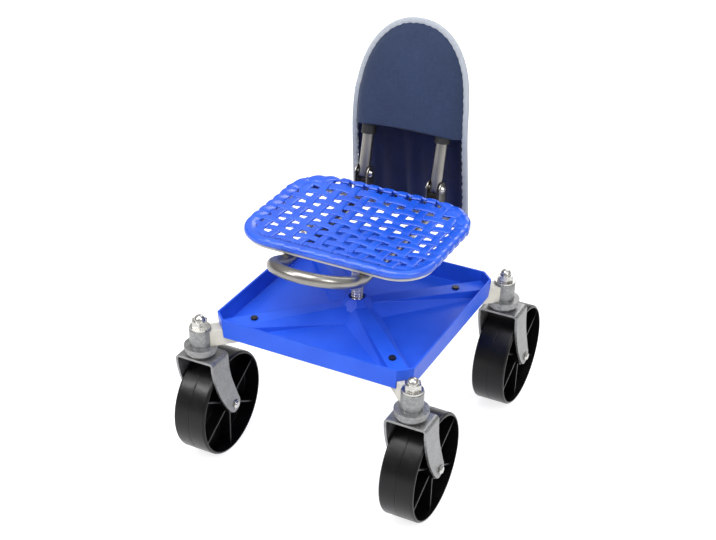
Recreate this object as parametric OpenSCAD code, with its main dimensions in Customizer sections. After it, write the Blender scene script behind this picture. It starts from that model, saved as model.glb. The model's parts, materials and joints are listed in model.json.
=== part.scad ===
// Rolling garden seat: a tool tray on an X frame with four swivel casters, and a
// woven seat with a folding fabric backrest that turns up and down on a screw.
// Millimetres. -Y is the front, +Z is up, and the wheels stand on z = 0. Left and
// right in names are as seen from the front, so right is +X.

/* [Tray] */
// Width and depth of the tray across its rim
tray_w = 350; // [320:5:420]
// Height of the tray wall, underside to rim
tray_h = 33.7; // [30:0.1:40]
// Thickness of the tray's walls and floor
tray_t = 3; // [2.5:0.1:4]
// Length cut off each side at a corner
tray_chamfer = 20; // [16:1:30]
// How far each wall leans in at its foot
tray_draft = 2; // [0.5:0.5:4]
// Distance of each tray bolt from both centre planes
tray_bolt_pos = 124; // [100:1:140]

/* [Casters] */
// Wheel diameter
wheel_d = 183; // [150:1:220]
// Wheel width across the tread
wheel_w = 59; // [45:1:64]
// Distance that the axle trails behind the swivel axis
caster_trail = 44; // [36:1:54]
// Distance of each swivel axis outside the tray's side
caster_out = 13; // [11:1:24]
// Thickness of the fork's steel
fork_t = 4; // [3:0.5:6]
// Gap between the wheel and the fork's top plate
fork_clear = 20; // [14:1:25]

/* [X frame] */
// Width of each frame arm
arm_w = 25; // [20:1:30]
// Height of each frame arm
arm_h = 28; // [24:1:32]
// Wall of the frame arms
arm_t = 1.5; // [1:0.1:2.5]
// Outer diameter of each caster sleeve
sleeve_d = 36; // [30:1:40]
// Height of each caster sleeve
sleeve_h = 35; // [32:1:42]
// Diameter of each caster stem
stem_d = 16; // [12:1:18]

/* [Seat] */
// Height of the sitting surface above the floor
seat_height = 406; // [395:1:440]
// Width of the seat
seat_w = 328; // [300:2:380]
// Depth of the seat
seat_d = 243; // [220:1:290]
// Corner radius of the seat
seat_r = 62; // [45:1:80]
// Gaps in the weave across the width
weave_columns = 12; // [8:1:12]
// Gaps in the weave from front to back
weave_rows = 10; // [6:1:10]
// Diameter of the seat's steel tube
tube_d = 20; // [16:1:22]
// Distance of each seat tube leg from the centre plane
leg_x = 66; // [55:1:75]
// Diameter of the height screw
screw_d = 20; // [14:1:22]
// Drop of the screw's lower end below the seat plate
screw_l = 188; // [150:1:200]

/* [Backrest] */
// Height of the backrest above its hinge
rest_h = 266; // [220:2:320]
// Width of the backrest cover
rest_w = 201; // [185:1:230]
// Angle that the backrest leans back from upright
rest_lean = 12; // [5:1:20]
// Diameter of each backrest post
post_d = 19; // [14:0.5:20]
// Height of the front panel's lower hem above the hinge
front_hem = 89; // [75:1:110]
// Drop of the rear panel's lower hem below the hinge
rear_drop = 74; // [40:1:90]

/* [Hidden] */
$fn = 72;
facets = 24;
bend_parts = 24;

// Clearances and one overrun for cuts.
run_gap = 0.05;
touch_gap = 0.2;
free_gap = 0.3;
over = 1;

// Caster: heights from the floor up.
axle_z = wheel_d / 2;
plate_top = wheel_d + fork_clear + fork_t;
plate_front = 22;
plate_back = 26;
wheel_side_gap = 2.1;
fork_in = wheel_w / 2 + wheel_side_gap;
fork_out = fork_in + fork_t;
fork_bend = 7;
fork_foot_r = 15;
race_h = 14;
race_d = 52;
race_lip = 3;
race_foot_d = 40;
ball_d = 5;
ball_count = 12;
flange_d = 55;
flange_t = 4;
axle_d = 10;
bush_d = 14;
hub_d = 34;
hub_gap = 0.6;
stem_head_d = 26;
stem_head_h = 4;
nut_af = 24;
nut_h = 11;
nut_dome = 9.5;
nut_washer_d = 34;
nut_washer_t = 3;
axle_head_d = 17;
axle_head_h = 5;

// Wheel section.
tread_t = 4.5;
tread_round = 4;
tread_seam = 0.6;
web_t = 4;
spoke_t = 3;
spoke_count = 6;
spoke_inset = 6;

// Frame: heights from the casters up.
caster_pos = tray_w / 2 + caster_out;
sleeve_z = plate_top + race_h + free_gap;
arm_z = sleeve_z + flange_t;
arm_top = arm_z + arm_h;
centre_d = 40;
centre_t = 3;
centre_rise = 2;
nut_flange_t = 3;
nut_flange_d = 40;

// Tray: it lies on the arms, with a roof over each.
rib_end_h = 16.6;
rib_hub_h = 22.5;
rib_end_top = 15.5;
rib_hub_top = 10.5;
rib_end_foot = 18;
rib_hub_foot = 35;
hub_h = 32.3;
hub_top_r = 15.5;
hub_foot_r = 31;
hub_foot_h = 16;
hub_hole_r = 13.5;
hub_corner_share = 0.32;
tray_z = arm_top + tray_t - rib_end_h;
tray_rim = tray_z + tray_h;
tray_floor = tray_z + tray_t;
tray_corner = (tray_w - tray_chamfer) / sqrt(2);
bolt_d = 6;
bolt_head_d = 11;
bolt_head_h = 4;
bolt_seat_d = 13;
bolt_seat_sink = 0.8;
bolt_nut_d = 11;
bolt_nut_h = 5;

// Seat: heights from the sitting surface down.
seat_y = -6.5;
pan_t = 4;
pan_skirt = 8.2;
rim_w = 12;
rim_wall = 11;
back_rise = 13;
front_rise = 5;
side_rise = 5;
pan_reach = pan_skirt + back_rise + front_rise + side_rise;
weave_x = 26.2;
weave_y = 23.2;
gap_x = 14;
gap_y = 12;
ring_d = 7;
ring_inset = 9;
ring_z = seat_height - pan_skirt - free_gap - ring_d / 2;
tube_t = 1.5;
tube_gap = 0.6;
tube_z = ring_z - ring_d / 2 - tube_gap - tube_d / 2;
loop_start = -113;
loop_bend = 50;
loop_run = 16;
rise_cos_share = 0.936;
rise_sin_share = 0.352;
seat_plate_w = 176;
seat_plate_d = 120;
seat_plate_t = 3;
seat_plate_r = 18;
seat_plate_top = tube_z - tube_d / 2;
seat_plate_z = seat_plate_top - seat_plate_t;
seat_bolt_y = 44;
seat_nut_h = 5;
screw_pin_d = 4;
screw_pin_l = 30;
screw_end = 6;
washer_d = 30;
washer_t = 3;
screw_low = seat_plate_z - screw_l;
washer_z = screw_low + screw_end + screw_pin_d / 2 + free_gap;

// Backrest: places measured from the hinge axis.
hinge_back = 35;
hinge_up = 39.5;
hinge_y = seat_y + seat_d / 2 + hinge_back;
hinge_z = tube_z + hinge_up;
hinge_bolt_d = 8;
hinge_head_d = 14;
hinge_head_h = 4;
ear_t = 2;
ear_w = 24;
ear_drop = 8;
web_gap = 0.6;
post_t = 1.5;
post_top = 172;
tube_over = 10;
collar_d = 25;
collar_h = 42;
collar_low = 67;
collar_rise = 9;
collar_groove = 1;
collar_rib = 4;
collar_ribs = 7;
board_t = 3;
board_gap = 0.3;
board_low = 82;
board_margin = 20;
board_screw_x = leg_x;
board_screw_d = 4;
board_screw_head_d = 9;
board_screw_head_h = 2;
cloth_t = 1.6;
board_off = post_d / 2 + board_gap;
rear_off = board_off + board_t + free_gap;
front_slack = 2;
front_off = -(collar_d / 2 + free_gap + cloth_t + front_slack);
binding_w = 10;
binding_t = 7;
binding_lead = 4;
hem_flare = 8;
flare_power = 0.6;
hem_kick = 24;
edge_power = 60;
arch_h = 138;
arch_power = 2.15;
arch_low = rest_h - arch_h;
kink_h = 108;
kink_soft = 42;
fold_depth = 1.6;
fold_count = 3;
cover_rows = 20;
cover_cols = 16;
seam_gap = 0.6;

// Bezier curve between four points, for the fork's edges.
function curve(a, b, c, d, t) =
    pow(1 - t, 3) * a + 3 * pow(1 - t, 2) * t * b + 3 * (1 - t) * pow(t, 2) * c + pow(t, 3) * d;

// Everything is built about the tray's centre, then moved so that the wheels'
// box is centred on the origin.
module on_floor() translate([0, -caster_trail, 0]) children();
module at_caster(ix, iy) on_floor() translate([ix * caster_pos, iy * caster_pos, 0]) children();
module along_x() rotate([90, 0, 90]) children();
module ring(d, hole, h) difference() {
    cylinder(d = d, h = h);
    translate([0, 0, -over]) cylinder(d = hole, h = h + 2 * over);
}

// Rounded rectangle, from exact circles and squares.
module plate2d(w, d, r) {
    square([w - 2 * r, d], center = true);
    square([w, d - 2 * r], center = true);
    for (x = [-1, 1], y = [-1, 1]) translate([x * (w / 2 - r), y * (d / 2 - r)]) circle(r = r);
}

// Square with its corners cut off.
function tray_ring(w, c, z) = [for (q = [
    [w / 2 - c, -w / 2], [w / 2, -w / 2 + c], [w / 2, w / 2 - c], [w / 2 - c, w / 2],
    [-w / 2 + c, w / 2], [-w / 2, w / 2 - c], [-w / 2, -w / 2 + c], [-w / 2 + c, -w / 2]]) [q[0], q[1], z]];

// Solid between two rings of the same number of points, the lower one first.
module between(low, high) {
    n = len(low);
    polyhedron(concat(low, high), concat(
        [[for (i = [0:n - 1]) i]],
        [[for (i = [0:n - 1]) 2 * n - 1 - i]],
        [for (i = [0:n - 1]) each [[i, n + i, n + (i + 1) % n], [i, n + (i + 1) % n, (i + 1) % n]]]));
}

// Cross-section of a rib roof at distance u from the centre.
function rib_section(u, top, foot, h) = [
    [u, -foot, tray_floor - over], [u, foot, tray_floor - over], [u, top, tray_z + h], [u, -top, tray_z + h]];
module rib_roof() between(
    rib_section(hub_hole_r, rib_hub_top, rib_hub_foot, rib_hub_h),
    rib_section(tray_corner - tray_t / 2, rib_end_top, rib_end_foot, rib_end_h));

// Eight-sided cone round the screw, its broad sides towards the ribs.
function hub_ring(r, z) = [for (i = [0:3], s = [-1, 1])
    let (a = 45 + 90 * i, w = r * hub_corner_share * s)
    [r * cos(a) - w * sin(a), r * sin(a) + w * cos(a), z]];

module tray() color("royalblue") on_floor() difference() {
    union() {
        difference() {
            between(
                tray_ring(tray_w - 2 * tray_draft, tray_chamfer, tray_z),
                tray_ring(tray_w, tray_chamfer, tray_rim));
            between(
                tray_ring(tray_w - 2 * tray_draft - 2 * tray_t, tray_chamfer - tray_t / 2, tray_floor),
                tray_ring(tray_w - 2 * tray_t + tray_draft / tray_h * over, tray_chamfer - tray_t / 2,
                    tray_rim + over));
        }
        intersection() {
            for (a = [45:90:315]) rotate([0, 0, a]) rib_roof();
            between(
                tray_ring(tray_w - 2 * tray_draft, tray_chamfer, tray_z),
                tray_ring(tray_w, tray_chamfer, tray_rim));
        }
        between(hub_ring(hub_foot_r, tray_z + hub_foot_h), hub_ring(hub_top_r, tray_z + hub_h));
    }
    for (a = [45, 135]) rotate([0, 0, a]) translate([-tray_w, -arm_w / 2 - free_gap, arm_z])
        cube([2 * tray_w, arm_w + 2 * free_gap, arm_h]);
    translate([0, 0, arm_z]) cylinder(d = centre_d + 2 * free_gap, h = screw_nut_top() - arm_z + free_gap);
    cylinder(r = hub_hole_r, h = tray_rim + over);
    for (x = [-1, 1], y = [-1, 1]) translate([x * tray_bolt_pos, y * tray_bolt_pos, 0]) {
        cylinder(d = bolt_d + 2 * run_gap, h = tray_rim);
        translate([0, 0, bolt_seat_z()]) cylinder(d = bolt_seat_d, h = tray_h);
    }
}

// Heights on the tray that other pieces share.
function screw_nut_top() = arm_top + centre_rise + nut_flange_t;
function bolt_seat_z() = tray_z + rib_end_h + (rib_hub_h - rib_end_h)
    * (tray_corner - tray_bolt_pos * sqrt(2)) / (tray_corner - hub_hole_r) - bolt_seat_sink;

module tray_bolts() color("black") on_floor() for (x = [-1, 1], y = [-1, 1])
    translate([x * tray_bolt_pos, y * tray_bolt_pos, 0]) {
        translate([0, 0, arm_z - bolt_nut_h - bolt_d / 2])
            cylinder(d = bolt_d, h = bolt_seat_z() - arm_z + bolt_nut_h + bolt_d / 2);
        translate([0, 0, bolt_seat_z()]) cylinder(d = bolt_head_d, h = bolt_head_h);
        translate([0, 0, arm_z - bolt_nut_h]) difference() {
            cylinder(d = bolt_nut_d, h = bolt_nut_h, $fn = 6);
            translate([0, 0, -over]) cylinder(d = bolt_d + 2 * run_gap, h = bolt_nut_h + 2 * over);
        }
    }

// Centre of the X frame, and the threaded nut that the screw turns in.
module centre_sleeve() color("silver") on_floor() translate([0, 0, arm_z])
    ring(centre_d, centre_d - 2 * centre_t, arm_h + centre_rise);

module screw_nut() color("goldenrod") on_floor() {
    translate([0, 0, arm_z])
        ring(centre_d - 2 * centre_t - 2 * run_gap, screw_d + 2 * run_gap, arm_h + centre_rise);
    translate([0, 0, arm_top + centre_rise]) ring(nut_flange_d, screw_d + 2 * run_gap, nut_flange_t);
}

// One square-section arm, coped to the centre sleeve and to its caster sleeve.
module frame_arm(ix, iy) color("tan") on_floor() difference() {
    rotate([0, 0, atan2(iy, ix)]) translate([0, -arm_w / 2, arm_z]) difference() {
        cube([caster_pos * sqrt(2), arm_w, arm_h]);
        translate([-over, arm_t, arm_t])
            cube([caster_pos * sqrt(2) + 2 * over, arm_w - 2 * arm_t, arm_h - 2 * arm_t]);
    }
    translate([0, 0, arm_z - over]) cylinder(d = centre_d, h = arm_h + 2 * over);
    translate([ix * caster_pos, iy * caster_pos, arm_z - over]) cylinder(d = sleeve_d, h = arm_h + 2 * over);
    translate([ix * tray_bolt_pos, iy * tray_bolt_pos, arm_z - over])
        cylinder(d = bolt_d + 2 * run_gap, h = arm_h + 2 * over);
}
module arm_front_left() frame_arm(-1, -1);
module arm_front_right() frame_arm(1, -1);
module arm_back_left() frame_arm(-1, 1);
module arm_back_right() frame_arm(1, 1);

// Upright sleeve at the end of an arm, with the upper race as its flange.
module caster_sleeve(ix, iy) color("silver") at_caster(ix, iy) translate([0, 0, sleeve_z]) difference() {
    union() {
        cylinder(d = sleeve_d, h = sleeve_h);
        cylinder(d = flange_d, h = flange_t);
    }
    translate([0, 0, -over]) cylinder(d = stem_d + 2 * run_gap, h = sleeve_h + 2 * over);
}
module sleeve_front_left() caster_sleeve(-1, -1);
module sleeve_front_right() caster_sleeve(1, -1);
module sleeve_back_left() caster_sleeve(-1, 1);
module sleeve_back_right() caster_sleeve(1, 1);

// Fork: a bent channel whose side view is the swept-back arm.
drop = plate_top - axle_z;
front_share = [[-0.48, 0.14], [-0.3, 0.55], [0.35, 0.94], [0.755, 1.095]];
back_share = [[1.33, 0.985], [0.95, 0.62], [0.62, 0.42], [0.6, 0.12]];
function fork_pt(q) = [caster_trail * q[0], plate_top - drop * q[1]];
module fork_side() {
    polygon(concat(
        [[-plate_front, plate_top + over]],
        [for (i = [0:bend_parts]) curve(fork_pt(front_share[0]), fork_pt(front_share[1]),
            fork_pt(front_share[2]), fork_pt(front_share[3]), i / bend_parts)],
        [for (i = [0:bend_parts]) curve(fork_pt(back_share[0]), fork_pt(back_share[1]),
            fork_pt(back_share[2]), fork_pt(back_share[3]), i / bend_parts)],
        [[plate_back, plate_top + over]]));
    translate([caster_trail, axle_z]) circle(r = fork_foot_r);
}
module channel2d(w, r, low) {
    translate([-w / 2, low]) square([w, plate_top - r - low]);
    translate([-w / 2 + r, low]) square([w - 2 * r, plate_top - low]);
    for (x = [-1, 1]) translate([x * (w / 2 - r), plate_top - r]) circle(r = r);
}
module caster_fork(ix, iy) color("silver") at_caster(ix, iy) difference() {
    intersection() {
        translate([-fork_out - over, 0, 0]) along_x() linear_extrude(2 * fork_out + 2 * over) fork_side();
        translate([0, caster_trail + fork_foot_r + over, 0]) rotate([90, 0, 0])
            linear_extrude(caster_trail + fork_foot_r + plate_front + 2 * over) difference() {
                channel2d(2 * fork_out, fork_bend, axle_z - fork_foot_r - over);
                translate([0, -fork_t])
                    channel2d(2 * fork_in, fork_bend - fork_t, axle_z - fork_foot_r - over);
            }
    }
    cylinder(d = stem_d + 2 * run_gap, h = plate_top + over);
    translate([-fork_out - over, caster_trail, axle_z]) along_x()
        cylinder(d = axle_d + 2 * run_gap, h = 2 * fork_out + 2 * over);
}
module fork_front_left() caster_fork(-1, -1);
module fork_front_right() caster_fork(1, -1);
module fork_back_left() caster_fork(-1, 1);
module fork_back_right() caster_fork(1, 1);

// Stem riveted under the fork plate, with its washer and domed nut above the sleeve.
module stem_bolt(ix, iy) color("gainsboro") at_caster(ix, iy) {
    nut_z = sleeve_z + sleeve_h + free_gap;
    translate([0, 0, plate_top - fork_t - stem_head_h]) cylinder(d = stem_head_d, h = stem_head_h);
    translate([0, 0, plate_top - fork_t])
        cylinder(d = stem_d, h = nut_z + nut_washer_t + nut_h - plate_top + fork_t);
    translate([0, 0, nut_z]) difference() {
        union() {
            cylinder(d = nut_washer_d, h = nut_washer_t);
            translate([0, 0, nut_washer_t]) cylinder(d = nut_af / cos(30), h = nut_h, $fn = 6);
            translate([0, 0, nut_washer_t + nut_h]) intersection() {
                sphere(r = nut_dome);
                cylinder(r = nut_dome, h = nut_dome);
            }
        }
        translate([0, 0, -over])
            cylinder(d = stem_d + 2 * run_gap, h = nut_washer_t + nut_h + over + run_gap);
    }
}
module stem_bolt_front_left() stem_bolt(-1, -1);
module stem_bolt_front_right() stem_bolt(1, -1);
module stem_bolt_back_left() stem_bolt(-1, 1);
module stem_bolt_back_right() stem_bolt(1, 1);

// Lower race cup on the fork plate, with the balls that carry the sleeve.
ball_ring_d = (race_d - 2 * race_lip + stem_d) / 2 + ball_d / 2;
ball_floor = race_h - ball_d;
module lower_race(ix, iy) color("gray") at_caster(ix, iy) translate([0, 0, plate_top]) difference() {
    union() {
        cylinder(d1 = race_foot_d, d2 = race_d, h = race_h / 2);
        translate([0, 0, race_h / 2]) cylinder(d = race_d, h = race_h / 2 - free_gap);
    }
    translate([0, 0, -over]) cylinder(d = stem_d + 2 * free_gap, h = race_h + 2 * over);
    translate([0, 0, ball_floor]) ring(race_d - 2 * race_lip, stem_d + 2 * race_lip, ball_d);
}
module race_front_left() lower_race(-1, -1);
module race_front_right() lower_race(1, -1);
module race_back_left() lower_race(-1, 1);
module race_back_right() lower_race(1, 1);

module race_balls(ix, iy) color("lightgray") at_caster(ix, iy)
    translate([0, 0, plate_top + ball_floor + ball_d / 2]) for (i = [0:ball_count - 1])
        rotate([0, 0, i * 360 / ball_count]) translate([ball_ring_d / 2, 0, 0]) sphere(d = ball_d);
module balls_front_left() race_balls(-1, -1);
module balls_front_right() race_balls(1, -1);
module balls_back_left() race_balls(-1, 1);
module balls_back_right() race_balls(1, 1);

// Axle bolt with a hexagon head and a domed nut, both outside the fork.
module axle_bolt(ix, iy) color("gainsboro") at_caster(ix, iy) translate([0, caster_trail, axle_z]) along_x() {
    translate([0, 0, -fork_out]) cylinder(d = axle_d, h = 2 * fork_out + axle_head_h / 2);
    translate([0, 0, -fork_out - axle_head_h]) cylinder(d = axle_head_d, h = axle_head_h, $fn = 6);
    translate([0, 0, fork_out]) difference() {
        union() {
            cylinder(d = axle_head_d, h = axle_head_h / 2, $fn = 6);
            translate([0, 0, axle_head_h / 2])
                cylinder(d1 = axle_head_d * cos(30), d2 = axle_d, h = axle_head_h / 2);
        }
        translate([0, 0, -over]) cylinder(d = axle_d + 2 * run_gap, h = over + axle_head_h / 2 + run_gap);
    }
}
module axle_bolt_front_left() axle_bolt(-1, -1);
module axle_bolt_front_right() axle_bolt(1, -1);
module axle_bolt_back_left() axle_bolt(-1, 1);
module axle_bolt_back_right() axle_bolt(1, 1);

// Steel bush clamped between the fork's arms, on which the wheel turns.
module axle_bush(ix, iy) color("silver") at_caster(ix, iy) translate([0, caster_trail, axle_z]) along_x()
    translate([0, 0, -fork_in + run_gap]) ring(bush_d, axle_d + 2 * run_gap, 2 * fork_in - 2 * run_gap);
module bush_front_left() axle_bush(-1, -1);
module bush_front_right() axle_bush(1, -1);
module bush_back_left() axle_bush(-1, 1);
module bush_back_right() axle_bush(1, 1);

// Wheel: broad tread, thin web at the middle, hub, and spokes on both faces.
module tread2d() difference() {
    translate([axle_z - tread_t, -wheel_w / 2]) union() {
        square([tread_t - tread_round, wheel_w]);
        translate([0, tread_round]) square([tread_t, wheel_w - 2 * tread_round]);
        for (s = [0, 1]) translate([tread_t - tread_round, tread_round + s * (wheel_w - 2 * tread_round)])
            circle(r = tread_round);
    }
    translate([0, -wheel_w]) square([axle_z - tread_t, 2 * wheel_w]);
    translate([axle_z - tread_seam, -tread_seam / 2]) square([tread_seam + over, tread_seam]);
}
module caster_wheel(ix, iy) color("dimgray") at_caster(ix, iy) translate([0, caster_trail, axle_z]) along_x()
    difference() {
        union() {
            rotate_extrude() tread2d();
            translate([0, 0, -web_t / 2]) cylinder(r = axle_z - tread_t / 2, h = web_t);
            translate([0, 0, -fork_in + hub_gap]) cylinder(d = hub_d, h = 2 * fork_in - 2 * hub_gap);
            for (i = [0:spoke_count - 1]) rotate([0, 0, 30 + i * 360 / spoke_count])
                translate([0, -spoke_t / 2, -wheel_w / 2 + spoke_inset])
                    cube([axle_z - tread_t / 2, spoke_t, wheel_w - 2 * spoke_inset]);
        }
        translate([0, 0, -fork_in]) cylinder(d = bush_d + 2 * run_gap, h = 2 * fork_in);
    }
module wheel_front_left() caster_wheel(-1, -1);
module wheel_front_right() caster_wheel(1, -1);
module wheel_back_left() caster_wheel(-1, 1);
module wheel_back_right() caster_wheel(1, 1);

// Height screw, fixed under the seat plate, with a pinned washer as its upper stop.
module seat_screw() color("silver") on_floor() {
    translate([0, 0, screw_low]) cylinder(d = screw_d, h = screw_l);
    translate([-screw_pin_l / 2, 0, screw_low + screw_end]) along_x()
        cylinder(d = screw_pin_d, h = screw_pin_l);
}
module stop_washer() color("gray") on_floor() translate([0, 0, washer_z])
    ring(washer_d, screw_d + 2 * run_gap, washer_t);

module seat_plate() color("mediumblue") on_floor() translate([0, 0, seat_plate_z]) difference() {
    linear_extrude(seat_plate_t) plate2d(seat_plate_w, seat_plate_d, seat_plate_r);
    for (x = [-1, 1], y = [-1, 1]) translate([x * leg_x, y * seat_bolt_y, -over])
        cylinder(d = bolt_d + 2 * run_gap, h = seat_plate_t + 2 * over);
}

module seat_bolts() color("gray") on_floor() for (x = [-1, 1], y = [-1, 1])
    translate([x * leg_x, y * seat_bolt_y, 0]) {
        translate([0, 0, seat_plate_z - bolt_head_h]) cylinder(d = bolt_head_d, h = bolt_head_h);
        translate([0, 0, seat_plate_z]) cylinder(d = bolt_d, h = seat_plate_t + tube_d + seat_nut_h);
        translate([0, 0, tube_z + tube_d / 2]) difference() {
            cylinder(d = bolt_nut_d, h = seat_nut_h, $fn = 6);
            translate([0, 0, -over]) cylinder(d = bolt_d + 2 * run_gap, h = seat_nut_h + 2 * over);
        }
    }

// One bent tube: two level legs under the seat, which bend up in front of it and
// meet in the half circle of the hand loop.
loop_rise = atan2(rise_sin_share, rise_cos_share);
leg_high = hinge_y + tube_over;
module tube2d() difference() {
    circle(d = tube_d);
    circle(d = tube_d - 2 * tube_t);
}
module tube_run(from, length) translate(from) rotate([-90, 0, 0]) ring(tube_d, tube_d - 2 * tube_t, length);
module seat_tube() color("silver") on_floor() difference() {
    union() {
        for (s = [-1, 1]) {
            tube_run([s * leg_x, loop_start, tube_z], leg_high - loop_start);
            translate([s * leg_x, loop_start, tube_z + loop_bend]) along_x() intersection() {
                rotate_extrude() translate([loop_bend, 0]) tube2d();
                translate([0, 0, -tube_d]) linear_extrude(2 * tube_d) polygon([[0, 0], [0, -2 * loop_bend],
                    [-2 * loop_bend * rise_sin_share, -2 * loop_bend],
                    [-2 * loop_bend * rise_sin_share, -2 * loop_bend * rise_cos_share]]);
            }
        }
        translate([0, loop_start - loop_bend * rise_sin_share, tube_z + loop_bend * (1 - rise_cos_share)])
            rotate([-loop_rise, 0, 0]) {
                for (s = [-1, 1]) tube_run([s * leg_x, -loop_run, 0], loop_run);
                translate([0, -loop_run, 0]) rotate([0, 0, 180]) rotate_extrude(angle = 180)
                    translate([leg_x, 0]) tube2d();
            }
    }
    for (x = [-1, 1], y = [-1, 1]) translate([x * leg_x, y * seat_bolt_y, tube_z - tube_d])
        cylinder(d = bolt_d + 2 * run_gap, h = 2 * tube_d);
}

// Steel rod that the pan's rim rests on and that lies on the legs.
module seat_ring() color("tan") on_floor() translate([0, seat_y, ring_z]) {
    w = seat_w / 2 - ring_inset;
    d = seat_d / 2 - ring_inset;
    r = seat_r - ring_inset;
    for (i = [0:3]) rotate([0, 0, 90 * i]) {
        a = i % 2 == 0 ? w : d;
        b = i % 2 == 0 ? d : w;
        translate([a - r, b - r, 0]) rotate_extrude(angle = 90) translate([r, 0]) circle(d = ring_d);
        translate([a, r - b, 0]) rotate([-90, 0, 0]) cylinder(d = ring_d, h = 2 * (b - r));
    }
}

// Sitting surface: it curves up towards the back, a little at the front and sides,
// and its rim is thicker than the weave so that it reaches down to the rod.
function back_curve(t) = back_rise * pow(t, 1.7);
function front_curve(t) = front_rise * t * t;
module below_dish(lift) {
    half_d = seat_d / 2 + over;
    half_w = seat_w / 2 + over;
    low = seat_height - pan_skirt - pan_t - over;
    top = seat_height + lift;
    translate([-half_w, 0, 0]) along_x() linear_extrude(2 * half_w) polygon(concat(
        [[-half_d, low]],
        [for (i = [0:4]) [-half_d + i * half_d / 9, top + front_curve(1 - i / 4)]],
        [for (i = [0:8]) [half_d * i / 8, top + back_curve(i / 8)]],
        [[half_d, low]]));
    for (s = [0, 1]) mirror([s, 0, 0]) translate([0, half_d, 0]) rotate([90, 0, 0])
        linear_extrude(2 * half_d) polygon(concat(
            [[half_w / 2, low]],
            [for (i = [0:5]) [half_w * (1 + i / 5) / 2, top + side_rise * pow(i / 5, 2)]],
            [[half_w, low]]));
}
module weave2d() difference() {
    plate2d(seat_w, seat_d, seat_r);
    intersection() {
        plate2d(seat_w - 2 * rim_w, seat_d - 2 * rim_w, seat_r - rim_w);
        for (i = [0:weave_columns - 1], j = [0:weave_rows - 1])
            translate([(i - (weave_columns - 1) / 2) * weave_x, (j - (weave_rows - 1) / 2) * weave_y])
                square([gap_x, gap_y], center = true);
    }
}
module seat_pan() color("blue") on_floor() translate([0, seat_y, 0]) union() {
    intersection() {
        translate([0, 0, seat_height - pan_t]) linear_extrude(pan_reach) weave2d();
        difference() {
            below_dish(0);
            below_dish(-pan_t);
        }
    }
    intersection() {
        translate([0, 0, seat_height - pan_skirt]) linear_extrude(pan_reach) difference() {
            plate2d(seat_w, seat_d, seat_r);
            plate2d(seat_w - 2 * rim_wall, seat_d - 2 * rim_wall, seat_r - rim_wall);
        }
        below_dish(0);
    }
}

// Backrest frame of reference: origin on the hinge axis, leaning back.
module at_hinge(s) on_floor() translate([s * leg_x, hinge_y, hinge_z]) children();
module leaning(s) at_hinge(s) rotate([-rest_lean, 0, 0]) children();

// Two ears and the stop behind them, welded round the end of a leg.
ear_in = tube_d / 2 + touch_gap;
ear_out = ear_in + ear_t;
stop_y = post_d / 2 / cos(rest_lean) + ear_w / 2 * tan(rest_lean) + web_gap;
module hinge_bracket(s) color("silver") at_hinge(s) difference() {
    union() {
        for (e = [-1, 1]) translate([e * (ear_in + ear_t / 2) - ear_t / 2, 0, 0]) along_x()
            linear_extrude(ear_t) {
                circle(d = ear_w);
                translate([-ear_w / 2, -hinge_up - ear_drop]) square([ear_w, hinge_up + ear_drop]);
                translate([0, -hinge_up - ear_drop]) square([stop_y + ear_t, hinge_up + ear_drop]);
            }
        translate([-ear_out, stop_y, -hinge_up - ear_drop]) cube([2 * ear_out, ear_t, hinge_up + ear_drop]);
    }
    translate([-ear_out - over, 0, 0]) along_x()
        cylinder(d = hinge_bolt_d + 2 * run_gap, h = 2 * ear_out + 2 * over);
}
module hinge_bracket_left() hinge_bracket(-1);
module hinge_bracket_right() hinge_bracket(1);

module hinge_bolts() color("gainsboro") for (s = [-1, 1]) at_hinge(s) along_x() {
    translate([0, 0, -ear_out]) cylinder(d = hinge_bolt_d, h = 2 * ear_out);
    for (e = [0, 1]) mirror([0, 0, e]) translate([0, 0, ear_out])
        cylinder(d1 = hinge_head_d, d2 = hinge_bolt_d, h = hinge_head_h);
}

// Hollow post with a rounded foot that turns between the ears.
module rest_post(s) color("silver") leaning(s) difference() {
    union() {
        cylinder(d = post_d, h = post_top);
        intersection() {
            translate([-post_d / 2, 0, 0]) along_x() cylinder(d = post_d, h = post_d);
            translate([0, 0, -post_d]) cylinder(d = post_d, h = 2 * post_d);
        }
    }
    translate([0, 0, post_d / 2]) cylinder(d = post_d - 2 * post_t, h = post_top);
    translate([-post_d, 0, 0]) along_x() cylinder(d = hinge_bolt_d + 2 * run_gap, h = 2 * post_d);
    for (z = board_screw_z()) translate([0, 0, z]) rotate([90, 0, 0])
        cylinder(d = board_screw_d + 2 * run_gap, h = 2 * post_d, center = true);
}
module post_left() rest_post(-1);
module post_right() rest_post(1);
function board_screw_z() = [collar_low + collar_rise + collar_h + binding_w / 2, post_top - binding_w];

// Height of each ribbed grip on its post: the right one sits higher.
function collar_z(s) = collar_low + (s > 0 ? collar_rise : 0);
// Ribbed grip on each post, half under the front panel's hem.
module post_collar(s) color("black") leaning(s) translate([0, 0, collar_z(s)]) difference() {
    cylinder(d = collar_d, h = collar_h);
    translate([0, 0, -over]) cylinder(d = post_d + 2 * run_gap, h = collar_h + 2 * over);
    for (i = [1:collar_ribs]) translate([0, 0, i * collar_rib - collar_groove])
        ring(collar_d + over, collar_d - 2 * collar_groove, collar_groove);
    translate([-collar_d, board_off - free_gap, board_low - collar_z(s) - free_gap])
        cube([2 * collar_d, collar_d, collar_h]);
}
module collar_left() post_collar(-1);
module collar_right() post_collar(1);

// Outline of the backrest: straight sides under half an ellipse.
function arch(v) = pow(max(0, 1 - pow(v, arch_power)), 1 / arch_power);
function half_width(h, margin) = (rest_w / 2 - margin)
    * (h <= arch_low ? 1 : arch((h - arch_low) / (arch_h - margin)));
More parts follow.
